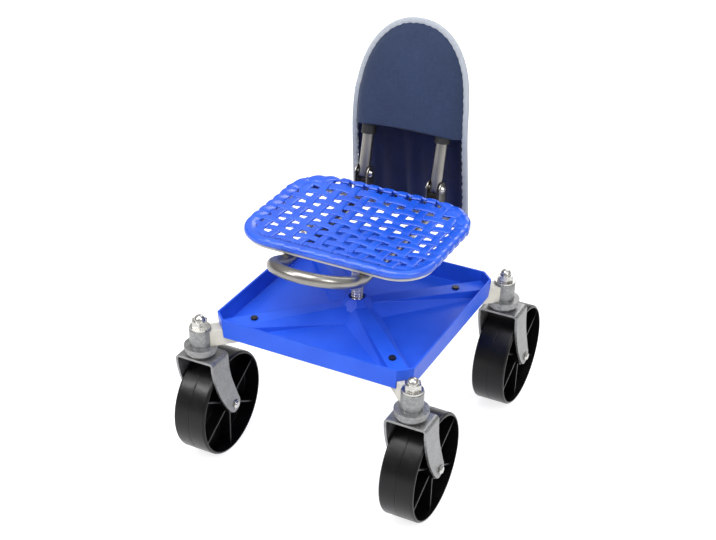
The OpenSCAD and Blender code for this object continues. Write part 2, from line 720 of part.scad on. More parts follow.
// Height along the lean at which a point of the cover hangs from, then its share of the
// way down to the rear panel's hem, and how far its edge spreads there.
function knee(h) = h > kink_h + kink_soft ? h : h < kink_h - kink_soft ? kink_h
    : kink_h + pow(h - kink_h + kink_soft, 2) / (4 * kink_soft);
function hang(h) = (knee(h) - h) / (kink_h + rear_drop);
function flare(h) = hem_flare
    * pow(max(0, kink_h + kink_soft - h) / (kink_h + kink_soft + rear_drop), flare_power);
module board2d() {
    translate([-rest_w / 2 + board_margin, board_low])
        square([rest_w - 2 * board_margin, arch_low - board_low]);
    polygon([for (i = [0:2 * facets]) let (v = sin(90 * i / facets))
        [half_width(arch_low + (arch_h - board_margin) * v, board_margin) * (i < facets ? 1 : -1),
            arch_low + (arch_h - board_margin) * v]]);
}
module back_board() color("dimgray") leaning(0) difference() {
    translate([0, board_off + board_t, 0]) rotate([90, 0, 0]) linear_extrude(board_t) board2d();
    for (x = [-1, 1], z = board_screw_z()) translate([x * board_screw_x, 0, z]) rotate([-90, 0, 0])
        cylinder(d = board_screw_d + 2 * run_gap, h = post_d + board_t);
}
module board_screws() color("gray") leaning(0) for (x = [-1, 1], z = board_screw_z())
    translate([x * board_screw_x, 0, z]) rotate([-90, 0, 0]) {
        translate([0, 0, -post_d / 2 - board_screw_head_h])
            cylinder(d1 = board_screw_d, d2 = board_screw_head_d, h = board_screw_head_h);
        translate([0, 0, -post_d / 2]) cylinder(d = board_screw_d, h = post_d + board_gap + board_t);
    }

// Point on the cover: across, behind the posts, and up from the hinge. Below the
// kink the rear panel hangs nearly straight down and spreads a little.
function cover_pt(x, off, h) = let (k = knee(h))
    [x + (x > 0 ? 1 : -1) * flare(h) * min(1, abs(x) / leg_x),
        hinge_y + off * cos(rest_lean) + k * sin(rest_lean) + hem_kick * hang(h),
        hinge_z - off * sin(rest_lean) + k * cos(rest_lean) - (k - h)];
function lean_pt(x, off, h) = [x, hinge_y + off * cos(rest_lean) + h * sin(rest_lean),
    hinge_z - off * sin(rest_lean) + h * cos(rest_lean)];

// Closed sheet from a grid of points and a second grid behind it.
module sheet(rows, cols, near, far) {
    n = rows * cols;
    function at(i, j) = i * cols + j;
    polyhedron(concat(near, far), concat(
        [for (i = [0:rows - 2], j = [0:cols - 2]) each [
            [at(i, j), at(i, j + 1), at(i + 1, j + 1)], [at(i, j), at(i + 1, j + 1), at(i + 1, j)],
            [n + at(i, j), n + at(i + 1, j + 1), n + at(i, j + 1)],
            [n + at(i, j), n + at(i + 1, j), n + at(i + 1, j + 1)]]],
        [for (j = [0:cols - 2]) each [
            [at(0, j), n + at(0, j), n + at(0, j + 1)], [at(0, j), n + at(0, j + 1), at(0, j + 1)],
            [at(rows - 1, j), at(rows - 1, j + 1), n + at(rows - 1, j + 1)],
            [at(rows - 1, j), n + at(rows - 1, j + 1), n + at(rows - 1, j)]]],
        [for (i = [0:rows - 2]) each [
            [at(i, 0), at(i + 1, 0), n + at(i + 1, 0)], [at(i, 0), n + at(i + 1, 0), n + at(i, 0)],
            [at(i, cols - 1), n + at(i, cols - 1), n + at(i + 1, cols - 1)],
            [at(i, cols - 1), n + at(i + 1, cols - 1), at(i + 1, cols - 1)]]]));
}

// Front panel: a pocket that swells over the posts and meets the rear panel at the binding.
panel_margin = binding_w + seam_gap;
panel_top = rest_h - panel_margin - cloth_t;
binding_off = board_off - binding_lead - binding_t / 2;
seam_off = binding_off + binding_t / 2;
function across(j) = sin(180 * j / cover_cols - 90);
function swell(u, v) = sqrt(max(0, 1 - pow(abs(u), 6))) * (1 - pow(v, 4));
function front_pt(x, h, back, share) = let (edge = cover_pt(x, seam_off - binding_t / 2 + back, h),
        out = lean_pt(edge[0], front_off + back, h))
    edge + share * (out - edge);
function front_grid(back) = [for (i = [0:cover_rows], j = [0:cover_cols])
    let (v = sin(90 * i / cover_rows), u = across(j), h = front_hem + (panel_top - front_hem) * v)
    front_pt(u * half_width(h, panel_margin), h, back, swell(u, v))];
module cover_front() color("navy") on_floor()
    sheet(cover_rows + 1, cover_cols + 1, front_grid(0), front_grid(cloth_t));

// Rear panel: flat behind the board, with its edges drawn forward to the binding,
// hanging with soft upright folds below it.
function rear_fold(u, h) = fold_depth * (1 - cos(360 * fold_count * u)) / 2 * hang(h);
function flat_share(u, h) = (1 - pow(abs(u), edge_power))
    * (1 - pow(max(0, h - arch_low) / (panel_top - arch_low), edge_power));
function rear_grid(back) = [for (i = [0:cover_rows], j = [0:cover_cols])
    let (v = sin(90 * i / cover_rows), u = across(j), h = -rear_drop + (panel_top + rear_drop) * v)
    cover_pt(u * half_width(h, panel_margin),
        seam_off + (rear_off - seam_off) * flat_share(u, h) + back + rear_fold(u, h), h)];
module cover_rear() color("midnightblue") on_floor()
    sheet(cover_rows + 1, cover_cols + 1, rear_grid(0), rear_grid(cloth_t));

// Binding: a flat band swept along the seam, up one side, over the arch and down.
side_steps = 10;
function seam(m) = concat(
    [for (i = [0:side_steps - 1]) [-1, -rear_drop + (arch_low + rear_drop) * i / side_steps]],
    [for (i = [0:2 * facets]) let (v = sin(90 * i / facets))
        [arch(v) * (i < facets ? -1 : 1), arch_low + (arch_h - m) * v]],
    [for (i = [side_steps - 1:-1:0]) [1, -rear_drop + (arch_low + rear_drop) * i / side_steps]]);
function seam_pts(m, off) = [for (q = seam(m)) cover_pt(q[0] * (rest_w / 2 - m), off, q[1])];
module cover_binding() color("lightgray") on_floor() {
    rings = len(seam(0));
    inner = binding_off - binding_t / 2 + cloth_t;
    tracks = [seam_pts(0, inner + binding_t / 3), seam_pts(0, inner + 2 * binding_t / 3),
        seam_pts(binding_w / 3, inner + binding_t), seam_pts(binding_w, inner + binding_t),
        seam_pts(binding_w, inner), seam_pts(binding_w / 3, inner)];
    polyhedron([for (i = [0:rings - 1], k = [0:5]) tracks[k][i]], concat(
        [[0, 1, 2, 3, 4, 5]],
        [[for (k = [5:-1:0]) (rings - 1) * 6 + k]],
        [for (i = [0:rings - 2], k = [0:5]) each [
            [i * 6 + k, (i + 1) * 6 + k, (i + 1) * 6 + (k + 1) % 6],
            [i * 6 + k, (i + 1) * 6 + (k + 1) % 6, i * 6 + (k + 1) % 6]]]));
}

tray();
tray_bolts();
centre_sleeve();
screw_nut();
arm_front_left();
arm_front_right();
arm_back_left();
arm_back_right();
sleeve_front_left();
sleeve_front_right();
sleeve_back_left();
sleeve_back_right();
fork_front_left();
fork_front_right();
fork_back_left();
fork_back_right();
stem_bolt_front_left();
stem_bolt_front_right();
stem_bolt_back_left();
stem_bolt_back_right();
race_front_left();
race_front_right();
race_back_left();
race_back_right();
balls_front_left();
balls_front_right();
balls_back_left();
balls_back_right();
axle_bolt_front_left();
axle_bolt_front_right();
axle_bolt_back_left();
axle_bolt_back_right();
bush_front_left();
bush_front_right();
bush_back_left();
bush_back_right();
wheel_front_left();
wheel_front_right();
wheel_back_left();
wheel_back_right();
stop_washer();
seat_screw();
seat_plate();
seat_bolts();
seat_tube();
seat_ring();
seat_pan();
hinge_bracket_left();
hinge_bracket_right();
hinge_bolts();
post_left();
post_right();
collar_left();
collar_right();
back_board();
board_screws();
cover_front();
cover_rear();
cover_binding();
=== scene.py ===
"""Looks of the rolling garden seat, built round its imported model. Metres, in the model's own frame."""

import json
import math

import bmesh
import bpy
import numpy as np
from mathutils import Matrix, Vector
from mathutils.geometry import delaunay_2d_cdt


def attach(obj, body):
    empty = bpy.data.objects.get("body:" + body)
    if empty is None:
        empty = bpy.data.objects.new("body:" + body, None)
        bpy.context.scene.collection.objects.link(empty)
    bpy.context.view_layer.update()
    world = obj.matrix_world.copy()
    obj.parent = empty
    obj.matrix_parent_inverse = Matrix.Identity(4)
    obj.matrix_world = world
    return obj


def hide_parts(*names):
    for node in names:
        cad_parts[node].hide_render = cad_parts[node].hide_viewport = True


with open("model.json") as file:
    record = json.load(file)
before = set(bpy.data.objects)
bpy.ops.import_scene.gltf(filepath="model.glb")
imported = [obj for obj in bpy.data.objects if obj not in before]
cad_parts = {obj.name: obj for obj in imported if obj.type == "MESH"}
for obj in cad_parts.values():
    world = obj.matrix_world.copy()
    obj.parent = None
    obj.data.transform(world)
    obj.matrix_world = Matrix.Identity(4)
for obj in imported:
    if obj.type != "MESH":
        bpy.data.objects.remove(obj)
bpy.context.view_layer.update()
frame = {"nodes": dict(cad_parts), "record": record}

NODES = frame["nodes"]
MM = 0.001
TINY = 1e-6

# Camera, worked out from the photograph's 716 by 540 frame.
PHOTO_W, PHOTO_H = 716, 540
FOCAL_PX = 1334.56
CENTRE_PX = (300.94, 364.10)
CAMERA_EYE = Vector((0.8330, -1.7589, 1.3846))
AZIMUTH, ELEVATION = math.radians(28.69), math.radians(33.23)
SENSOR_MM = 36

# Studio: each lamp's name, place, side and watts, the point that all lamps face, the floor, and the sky's strength
# where its direction points this far up.
LAMPS = (("top_light", (-0.2, -0.9, 2.5), 1.6, 46), ("right_light", (2.0, -0.9, 2.0), 1.0, 23),
         ("left_light", (-1.3, -1.7, 1.8), 0.5, 17), ("back_light", (0.0, 2.4, 1.9), 1.4, 22))
LAMP_AIM = Vector((0, 0, 0.3))
FLOOR_HALF, FLOOR_GLOW = 12.0, 0.8
SKY_LOW, SKY_HIGH = 0.1, 0.9
SKY_DIM, SKY_BRIGHT = 0.3, 0.9

# Seat: its weave has the same gaps as the pan that it stands for, with a broader last strip at the back.
SEAT_Y = -50.5 * MM
SEAT_TOP = 406 * MM
SEAT_HALF_W, SEAT_HALF_D = 164 * MM, 121.5 * MM
SEAT_R = 62 * MM
GAPS_X, GAPS_Y = 12, 10
PITCH_X, PITCH_Y = 26.2 * MM, 23.2 * MM
GAP_X, GAP_Y = 12.0 * MM, 9.8 * MM

# Rise of its sitting surface, with the shares of the half depth and half width where it starts.
BACK_RISE, FRONT_RISE, SIDE_RISE = 13 * MM, 5 * MM, 5 * MM
FRONT_START, SIDE_START = 5 / 9, 1 / 2
BACK_RISE_POWER, RISE_POWER = 1.7, 2

# Strips of the weave: their waves flatten out near the rim, and their ends drop a little.
STRIP_T, STRIP_STEP = 3.0 * MM, 1.7 * MM
STRIP_SIDES, STRIP_POWER = 18, 4.5
BACK_STRIP_EXTRA = 4 * MM
WAVE, WAVE_SHARPNESS, CROWN = 0.75 * MM, 1.9, 0.6 * MM
END_DROP = 0.8 * MM
TILT_REACH = 0.5 * MM

# Rim, with the wraps of the weave round it. A kind of wrap is how proud it stands, how sharp it is and how far the
# rim's shoulder reaches in. Under the back wraps the rim is an open lip.
RIM_W, RIM_STEP = 12 * MM, 1.5 * MM
RIM_FOOT_Z = 397.9 * MM
BACK_SHOULDER = -6 * MM
FRONT_WRAPS, FRONT_CORNERS = (0.7 * MM, 0.14, 7.5 * MM), (0.0, 1.0, 7.5 * MM)
SIDE_WRAPS, BACK_WRAPS = (1.2 * MM, 0.35, 10.5 * MM), (1.3 * MM, 0.3, BACK_SHOULDER)
WRAPS_A_CORNER = 3
LIP_DROP, LIP_INSIDE, LIP_FLATNESS = 4.4 * MM, 1.6 * MM, 0.9
LIP_EASING, SWELL_EASING, SHOULDER_EASING = 9, 3, 21

# Section of the rim, in mm: how far across from its middle, at least how far from its inner edge, which level the
# height is from, how far up from it, and how far a wrap swells it out and up, as shares.
RIM_SECTION = (
    (-5.0, None, "foot", 0.0, 0.0, 0.0), (-5.2, None, "crest", -5.5, 0.0, 0.0), (-20, 0.0, "crest", -4.4, 0.0, 0.0),
    (-20, 0.0, "crest", -2.5, -0.3, 0.3), (-20, 1.0, "crest", -1.2, -0.3, 0.8), (-4.6, 1.8, "crest", -0.5, -0.1, 0.9),
    (-1.6, 2.6, "crest", -0.05, 0.0, 1.0), (1.5, 3.4, "crest", -0.3, 0.2, 1.0), (3.6, 4.2, "crest", -1.4, 0.6, 0.8),
    (5.1, 5.0, "crest", -3.0, 0.85, 0.5), (5.8, 5.6, "crest", -4.4, 1.0, 0.2), (6.0, None, "foot", 3.0, 1.0, 0.0),
    (5.6, None, "foot", 1.5, 0.8, 0.0), (4.6, None, "foot", 0.4, 0.4, 0.0), (3.4, None, "foot", 0.0, 0.0, 0.0))

# Strip over the back rim, in mm: how far back from the seat's middle, which level the height is from, and how far up
# from it.
WRAP_PATH = ((108.0, "crest", -1.9), (112.0, "crest", -0.9), (115.5, "crest", -0.1), (118.6, "crest", 0.0),
             (120.6, "crest", -1.4), (121.6, "crest", -4.0), (121.7, "foot", 9.0), (121.5, "foot", 4.5),
             (120.4, "foot", 1.8), (118.0, "foot", 0.9))
WRAP_EXTRA, WRAP_T, WRAP_POWER = 1.5 * MM, 2.4 * MM, 4.0
WRAPS_EACH_SIDE = 3

# Height screw, with the root and flank of its thread as shares of the pitch, and its cross pin.
SCREW_Y = -44 * MM
SCREW_R = 10 * MM
SCREW_LOW, SCREW_TOP = 178.9 * MM, 366.9 * MM
SCREW_SIDES, STEPS_A_TURN = 32, 10
THREAD_PITCH, THREAD_DEPTH = 5 * MM, 1.9 * MM
THREAD_ROOT, THREAD_FLANK = 1 / 4, 1 / 4
POINT_LENGTH, POINT_DEPTH = 2 * MM, 1 * MM
PIN_R, PIN_HALF, PIN_UP = 2 * MM, 15 * MM, 6 * MM
PIN_SIDES, PIN_BEVEL, PIN_END = 20, 0.6 * MM, 0.6

# Backrest, measured from its hinge axis. Its cover bends from the lean to the vertical at the kink and spreads below.
HINGE_Y, HINGE_Z = 106 * MM, 419.4 * MM
LEAN = math.radians(12)
REST_HALF = 100.5 * MM
REST_H, ARCH_H, ARCH_POWER = 266 * MM, 138 * MM, 2.15
ARCH_LOW = REST_H - ARCH_H
REAR_DROP = 74 * MM
FRONT_HEM = 89 * MM
KINK_H, KINK_SOFT = 108 * MM, 42 * MM
HEM_FLARE, FLARE_POWER, HEM_KICK = 8 * MM, 0.6, 24 * MM
LEG_X = 66 * MM

# Panels of the cover. Their seams lie this far inside its outline and behind the posts.
SEAM_INSET = 8 * MM
PANEL_TOP = REST_H - SEAM_INSET
SEAM_OFF = 5.8 * MM
REAR_OFF, REAR_GAP = 13.4 * MM, 0.5 * MM
FRONT_OFF, FRONT_SEAM_OFF = -18.2 * MM, SEAM_OFF - 3.5 * MM
SWELL_POWER_ACROSS, SWELL_POWER_UP, FLAT_POWER = 6, 4, 40
HEM_DROP, HEM_CORNER, HEM_SLOPE, HEM_REACH = 4 * MM, 5.5 * MM, 2.5 * MM, 60 * MM
HEM_CORNER_POWER = 1.5
FOLDS, FOLD_DEPTH, FOLD_DRIFT, DRIFT_RATE = 3, 9 * MM, 0.6, 9

# Their triangles: the shares of a cell between two rows and between the outline and the points inside it, and the
# cells that a row starts left of the middle.
CLOTH_CELL = 5 * MM
ROW_SHARE, EDGE_SHARE = 0.87, 0.6
CELLS_LEFT = 100
ARCH_STEPS, HEM_STEPS, LEAST_SIDE_STEPS = 48, 40, 3
TRIANGLES_INSIDE, MERGE_DISTANCE = 1, 1e-7

# Their cloth: how it moves, how near it comes to the frame, the most that a point may move, and the most that it
# may move towards the frame.
CLOTH_T = 1.1 * MM
CLOTH_SETTINGS = {"quality": 8, "mass": 0.25, "tension_stiffness": 25, "compression_stiffness": 25,
                  "shear_stiffness": 8, "bending_stiffness": 1.5, "air_damping": 2, "shrink_min": -0.012}
CLOTH_GAP, FRAME_GAP, FRAME_FRICTION = 1.0 * MM, 0.8 * MM, 8
SETTLE_FRAMES = 36
FRONT_CAP, REAR_CAP, FRAME_CAP = 5 * MM, 4 * MM, 0.3 * MM

# Binding: tape whose inner edge is thinner, waves with its stitches, and waves more slowly along its length.
TAPE_W, TAPE_T = 10 * MM, 7 * MM
TAPE_OFF = 3.9 * MM
TAPE_STEP, TAPE_ARCH_STEPS = 2 * MM, 60
TAPE_SIDES, TAPE_POWER = 16, 3.0
TAPE_THIN, TAPE_SWELL = 0.78, 0.03
STITCH_WAVE, STITCH_PITCH = 0.7 * MM, 13 * MM
SLACK_WAVE, SLACK_PITCH, SLACK_PHASE = 0.4 * MM, 31 * MM, 1

# Materials: parts of the formula for screen colours, samples of the nodes that look round a point, how far the seat's
# painted crease shade looks, how far a moulding's gloss varies, how often slubs come along and across a thread, and
# screen colours, dark and pale.
SCREEN_FULL, SCREEN_SHIFT, SCREEN_GAIN, SCREEN_POWER = 255, 0.055, 1.055, 2.4
EDGE_SAMPLES, PAINTED_SHADE_SAMPLES = 6, 8
PAINTED_SHADE_REACH = 5 * MM
GLOSS_RANGE = 0.04
SLUB_SLOW, SLUB_FAST = 60, 900
WHITE = (1.0, 1.0, 1.0, 1.0)
# The seat's blues, and the dark blue of the shade painted into its creases.
SEAT_BLUES, SEAT_PAINTED_SHADE = ((22, 72, 190), (33, 87, 204)), (8, 34, 120)
ZINC_GREYS, ZINC_STAINS = ((125, 126, 127), (150, 151, 151)), (140, 138, 133)
SATIN_GREYS = (136, 133, 129), (154, 151, 146)
WHEEL_BLACKS, WHEEL_DUST = ((4, 4, 5), (9, 9, 10)), (24, 24, 24)
WHEEL_RINGS_SHARE, WHEEL_GRAIN_SHARE = 0.7, 0.5
FLOOR_GREYS = (172, 172, 172), (178, 178, 178)


# Materials

def linear(*rgb):
    """An 8-bit screen colour as a linear one."""
    return tuple(((c / SCREEN_FULL + SCREEN_SHIFT) / SCREEN_GAIN) ** SCREEN_POWER for c in rgb) + (1.0,)


class Look:
    """A material, with short calls for the nodes that the finishes share."""

    def __init__(self, name, **sockets):
        self.material = bpy.data.materials.new(name)
        self.material.use_nodes = True
        self.nodes = self.material.node_tree.nodes
        self.shader = self.nodes["Principled BSDF"]
        self.place = self.add("ShaderNodeTexCoord").outputs["Object"]
        for key, value in sockets.items():
            self.shader.inputs[key.replace("_", " ")].default_value = value

    def feed(self, value, socket):
        """Links another node's output to a socket, or sets it to a value."""
        if isinstance(value, bpy.types.NodeSocket):
            self.material.node_tree.links.new(value, socket)
        else:
            socket.default_value = value

    def add(self, kind, inputs=None, **settings):
        """A new node with its settings, fed at some of its inputs."""
        node = self.nodes.new(kind)
        for key, value in settings.items():
            setattr(node, key, value)
        for key, value in (inputs or {}).items():
            self.feed(value, node.inputs[key])
        return node

    def noise(self, scale, detail, stretch=None, place=None):
        """Smooth noise over coordinates that may be stretched first."""
        place = place or self.place
        if stretch:
            place = self.add("ShaderNodeMapping", {"Vector": place, "Scale": stretch}).outputs["Vector"]
        return self.add("ShaderNodeTexNoise", {"Vector": place, "Scale": scale, "Detail": detail}).outputs["Fac"]

    def spangle(self, scale):
        """Patches of one value each, like the crystals in a zinc coat."""
        cells = self.add("ShaderNodeTexVoronoi", {"Vector": self.place, "Scale": scale})
        return self.add("ShaderNodeSeparateColor", {"Color": cells.outputs["Color"]}).outputs["Red"]

    def sums(self, operation, *values):
        """Arithmetic on numbers and other nodes' outputs."""
        return self.add("ShaderNodeMath", dict(enumerate(values)), operation=operation).outputs["Value"]

    def spread(self, value, low=0.0, high=1.0, start=0.3, end=0.7):
        """A value between start and end, turned into one between low and high."""
        inputs = {"Value": value, "From Min": start, "From Max": end, "To Min": low, "To Max": high}
        return self.add("ShaderNodeMapRange", inputs).outputs["Result"]

    def mix(self, share, *colours):
        """A colour between two, each a screen colour or a node's output."""
        node = self.add("ShaderNodeMix", {"Factor": share}, data_type="RGBA")
        sockets = [socket for socket in node.inputs if socket.type == "RGBA"]
        for colour, socket in zip(colours, sockets):
            self.feed(linear(*colour) if isinstance(colour, tuple) else colour, socket)
        return [socket for socket in node.outputs if socket.type == "RGBA"][0]

    def bump(self, height, depth, edge=None):
        """Normals of a relief, over sharp edges that look rounded to a radius if one is given."""
        inputs = {"Height": height, "Distance": depth}
        if edge:
            inputs["Normal"] = self.add("ShaderNodeBevel", {"Radius": edge}, samples=EDGE_SAMPLES).outputs["Normal"]
        return self.add("ShaderNodeBump", inputs).outputs["Normal"]

    def finish(self, colour, rough, normal=None):
        """The material, with these outputs fed to its shader."""
        for value, key in ((colour, "Base Color"), (rough, "Roughness"), (normal, "Normal")):
            if value is not None:
                self.feed(value, self.shader.inputs[key])
        return self.material


def plastic(name, dark, pale, rough, edge, grain=900, depth=0.02 * MM, **sockets):
    """Moulded plastic: cloudy colour, a fine orange peel, rubbed patches and soft edges."""
    look = Look(name, **sockets)
    cloud = look.noise(scale=14, detail=4)
    rub = look.noise(scale=60, detail=8, stretch=(1.0, 0.35, 1.0))
    gloss = look.sums("ADD", look.spread(cloud, rough - GLOSS_RANGE, rough + GLOSS_RANGE),
                      look.spread(rub, low=0.0, high=0.1, start=0.55, end=0.75))
    return look.finish(look.mix(look.spread(cloud), dark, pale), gloss,
                       look.bump(look.noise(scale=grain, detail=2), depth, edge))


def clouded(name, dark, pale, cloud, rough, marks, depth, edge=None, **sockets):
    """A finish whose colour and gloss follow one cloud, over fine marks. Cloud and marks are what a noise takes."""
    look = Look(name, **sockets)
    patch = look.noise(*cloud)
    return look.finish(look.mix(look.spread(patch), dark, pale), look.spread(patch, *rough),
                       look.bump(look.noise(*marks), depth, edge))


def seat_look():
    """Glossier than the tray, with fine lines along the strips and painted shade darkening its creases."""
    look = Look("seat_plastic", Coat_Weight=0.16, Coat_Roughness=0.2)
    cloud = look.noise(scale=22, detail=4)
    rub = look.noise(scale=90, detail=6)
    lines = look.noise(scale=500, detail=3, stretch=(1.0, 0.3, 1.0))
    # Painted shade: a node that finds how closed in each point is darkens the creases between the strips.
    painted_shade = look.add("ShaderNodeAmbientOcclusion", {"Distance": PAINTED_SHADE_REACH}, samples=PAINTED_SHADE_SAMPLES).outputs["AO"]
    open_colour = look.mix(look.spread(cloud), *SEAT_BLUES)
    colour = look.mix(look.spread(painted_shade, start=0.25, end=0.9), SEAT_PAINTED_SHADE, open_colour)
    gloss = look.sums("ADD", look.spread(cloud, low=0.24, high=0.32),
                      look.spread(rub, low=0.0, high=0.12, start=0.55, end=0.8))
    return look.finish(colour, gloss, look.bump(lines, depth=0.05 * MM))


def zinc_look():
    """Dull zinc plate with its mottled crystals and fine rolling marks."""
    look = Look("zinc_plate", Metallic=0.8)
    patch = look.spangle(scale=260)
    cloud = look.noise(scale=45, detail=5)
    marks = look.noise(scale=900, detail=3, stretch=(1.0, 0.12, 0.12))
    plate = look.mix(look.spread(patch, start=0.0, end=1.0), *ZINC_GREYS)
    colour = look.mix(look.spread(cloud, low=0.0, high=0.5, start=0.5, end=0.8), plate, ZINC_STAINS)
    gloss = look.sums("ADD", look.spread(patch, low=0.34, high=0.46, start=0.0, end=1.0),
                      look.spread(cloud, low=-0.03, high=0.08))
    return look.finish(colour, gloss, look.bump(marks, depth=0.04 * MM, edge=0.8 * MM))


def satin_look():
    """Satin steel tube with fine brushing along it."""
    look = Look("satin_tube", Metallic=1.0)
    brush = look.noise(scale=1500, detail=3, stretch=(1.0, 0.03, 0.3))
    cloud = look.noise(scale=30, detail=4)
    gloss = look.sums("ADD", look.spread(brush, low=0.28, high=0.36), look.spread(cloud, low=-0.03, high=0.04))
    return look.finish(look.mix(look.spread(cloud), *SATIN_GREYS), gloss,
                       look.bump(brush, depth=0.008 * MM, edge=0.5 * MM))


def wheel_look():
    """Black moulded wheel with fine mould lines, paler and drier where dust lies."""
    look = Look("wheel_plastic", Specular_IOR_Level=0.26)
    cloud = look.noise(scale=18, detail=5)
    dust = look.noise(scale=75, detail=8)
    rings = look.noise(scale=420, detail=3, stretch=(1.0, 0.04, 0.04))
    grain = look.noise(scale=1400, detail=2)
    clean = look.mix(look.spread(cloud), *WHEEL_BLACKS)
    colour = look.mix(look.spread(dust, low=0.0, high=0.25, start=0.55, end=0.8), clean, WHEEL_DUST)
    gloss = look.sums("ADD", look.spread(cloud, low=0.27, high=0.33),
                      look.spread(dust, low=0.0, high=0.12, start=0.5, end=0.8))
    relief = look.sums("ADD", look.sums("MULTIPLY", rings, WHEEL_RINGS_SHARE),
                       look.sums("MULTIPLY", grain, WHEEL_GRAIN_SHARE))
    return look.finish(colour, gloss, look.bump(relief, depth=0.06 * MM, edge=1.4 * MM))


def cloth_look(name, dark, pale, sheen, pitch=0.9 * MM, depth=0.12 * MM):
    """Plain weave that follows the sheet's own length and width, with slubs and faded patches."""
    look = Look(name, Sheen_Weight=sheen, Sheen_Roughness=0.45, Specular_IOR_Level=0.25)
    sheet = look.add("ShaderNodeTexCoord").outputs["UV"]
    split = look.add("ShaderNodeSeparateXYZ", {"Vector": sheet})
    threads = [look.sums("SINE", look.sums("MULTIPLY", split.outputs[axis], 2 * math.pi / pitch)) for axis in "XY"]
    weave = look.sums("MULTIPLY", *threads)
    slub = look.noise(scale=1, detail=4, stretch=(SLUB_SLOW, SLUB_FAST, 1), place=sheet)
    pick = look.noise(scale=1, detail=4, stretch=(SLUB_FAST, SLUB_SLOW, 1), place=sheet)
    fade = look.noise(scale=9, detail=5, place=sheet)
    tone = look.sums("ADD", *[look.spread(part, low=-0.25, high=0.25) for part in (slub, pick)])
    tone = look.sums("ADD", tone, look.spread(fade, low=0.2, high=0.8))
    tone = look.sums("ADD", tone, look.spread(weave, low=-0.12, high=0.12, start=-1.0, end=1.0))
    tone.node.use_clamp = True
    relief = look.sums("ADD", look.spread(weave, start=-1.0, end=1.0), look.spread(slub, low=0.0, high=0.5))
    return look.finish(look.mix(tone, dark, pale), look.spread(fade, low=0.72, high=0.86), look.bump(relief, depth))


LOOKS = {
    "tray_blue": plastic("tray_plastic", (33, 81, 206), (42, 92, 218), rough=0.34, edge=2.2 * MM,
                         Specular_IOR_Level=0.22),
    "seat_blue": seat_look(),
    # Blue paint on the plate under the seat, made paler and brighter than the paint as painted light, since the seat
    # shades the plate.
    "plate_blue": plastic("plate_paint_and_painted_light", (46, 106, 236), (56, 118, 246), rough=0.32, edge=0.8 * MM, grain=700,
                          depth=0.03 * MM),
    "frame_beige": clouded("frame_paint", (186, 182, 170), (204, 201, 190), cloud=(25, 4), rough=(0.36, 0.46),
                           marks=(650, 2), depth=0.06 * MM, edge=1.5 * MM, Coat_Weight=0.2, Coat_Roughness=0.3),
    "zinc_steel": zinc_look(),
    "satin_tube": satin_look(),
    "bright_nut": clouded("bright_plate", (176, 174, 169), (202, 201, 198), cloud=(120, 5), rough=(0.22, 0.32),
                          marks=(2500, 2, (1.0, 0.1, 0.1)), depth=0.01 * MM, edge=0.6 * MM, Metallic=1.0),
    "screw_steel": clouded("oiled_screw", (196, 190, 182), (222, 219, 214), cloud=(60, 4), rough=(0.22, 0.32),
                           marks=(2000, 2), depth=0.01 * MM, Metallic=1.0),
    "nut_brass": clouded("turned_brass", (176, 150, 92), (196, 174, 118), cloud=(60, 5), rough=(0.25, 0.4),
                         marks=(2200, 2, (0.05, 0.05, 1.0)), depth=0.02 * MM, edge=0.5 * MM, Metallic=1.0),
    "wheel_black": wheel_look(),
    "black_bolt": plastic("black_oxide", (14, 14, 16), (24, 24, 26), rough=0.35, edge=0.6 * MM, grain=1200),
    "grip_black": plastic("grip_rubber", (20, 20, 21), (31, 31, 32), rough=0.55, edge=0.3 * MM, grain=1500,
                          depth=0.05 * MM),
    "board_black": plastic("board_plastic", (44, 46, 50), (56, 58, 62), rough=0.6, edge=0.5 * MM, grain=700,
                           depth=0.05 * MM),
    "navy_cloth": cloth_look("navy_cloth", (29, 40, 66), (42, 55, 83), sheen=0.06),
    "dark_cloth": cloth_look("dark_cloth", (6, 13, 46), (15, 27, 68), sheen=0.12),
    "grey_binding": cloth_look("grey_tape", (138, 143, 151), (165, 170, 178), sheen=0.15, pitch=1.4 * MM,
                               depth=0.15 * MM),
}


def dress_cad_nodes():
    """Gives each CAD node the finish of its own material slot."""
    for part in frame["record"]["subparts"]:
        for place in NODES[part["node"]].material_slots:
            place.material = LOOKS[part["material_slot"]]


# Meshes

def new_piece(name, points, faces, body, slot, node):
    """A mesh that rides on a body, has the finish of a material slot and stands for a CAD node."""
    mesh = bpy.data.meshes.new(name)
    mesh.from_pydata([tuple(map(float, p)) for p in points], [], [tuple(map(int, f)) for f in faces])
    work = bmesh.new()
    work.from_mesh(mesh)
    bmesh.ops.recalc_face_normals(work, faces=work.faces)
    work.to_mesh(mesh)
    work.free()
    for face in mesh.polygons:
        face.use_smooth = True
    piece = bpy.data.objects.new(name, mesh)
    bpy.context.scene.collection.objects.link(piece)
    mesh.materials.append(LOOKS[slot])
    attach(piece, body)
    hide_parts(node)
    return piece


def skin(rings, loop=False):
    """Points and faces of a closed skin over rings of points that all have the same count."""
    rings = np.asarray(rings)
    count, around = rings.shape[:2]
    faces = []
    for i in range(count if loop else count - 1):
        low, high = i * around, (i + 1) % count * around
        faces += [(low + k, low + (k + 1) % around, high + (k + 1) % around, high + k) for k in range(around)]
    if not loop:
        faces += [tuple(range(around)), tuple((count - 1) * around + k for k in range(around))]
    return rings.reshape(-1, 3), faces


def joined(parts):
    """One list of points and one of faces from several."""
    points, faces = [], []
    for some_points, some_faces in parts:
        start = len(points)
        points += list(some_points)
        faces += [tuple(start + i for i in face) for face in some_faces]
    return points, faces


def turns(count):
    """Even angles round a circle."""
    return 2 * np.pi * np.arange(count) / count


def oval(width, height, count, power):
    """Outline of a rounded bar, as across and up."""
    c, s = np.cos(turns(count)), np.sin(turns(count))
    return np.stack([width / 2 * np.sign(c) * abs(c) ** (2 / power),
                     height / 2 * np.sign(s) * abs(s) ** (2 / power)], axis=1)


# Woven seat

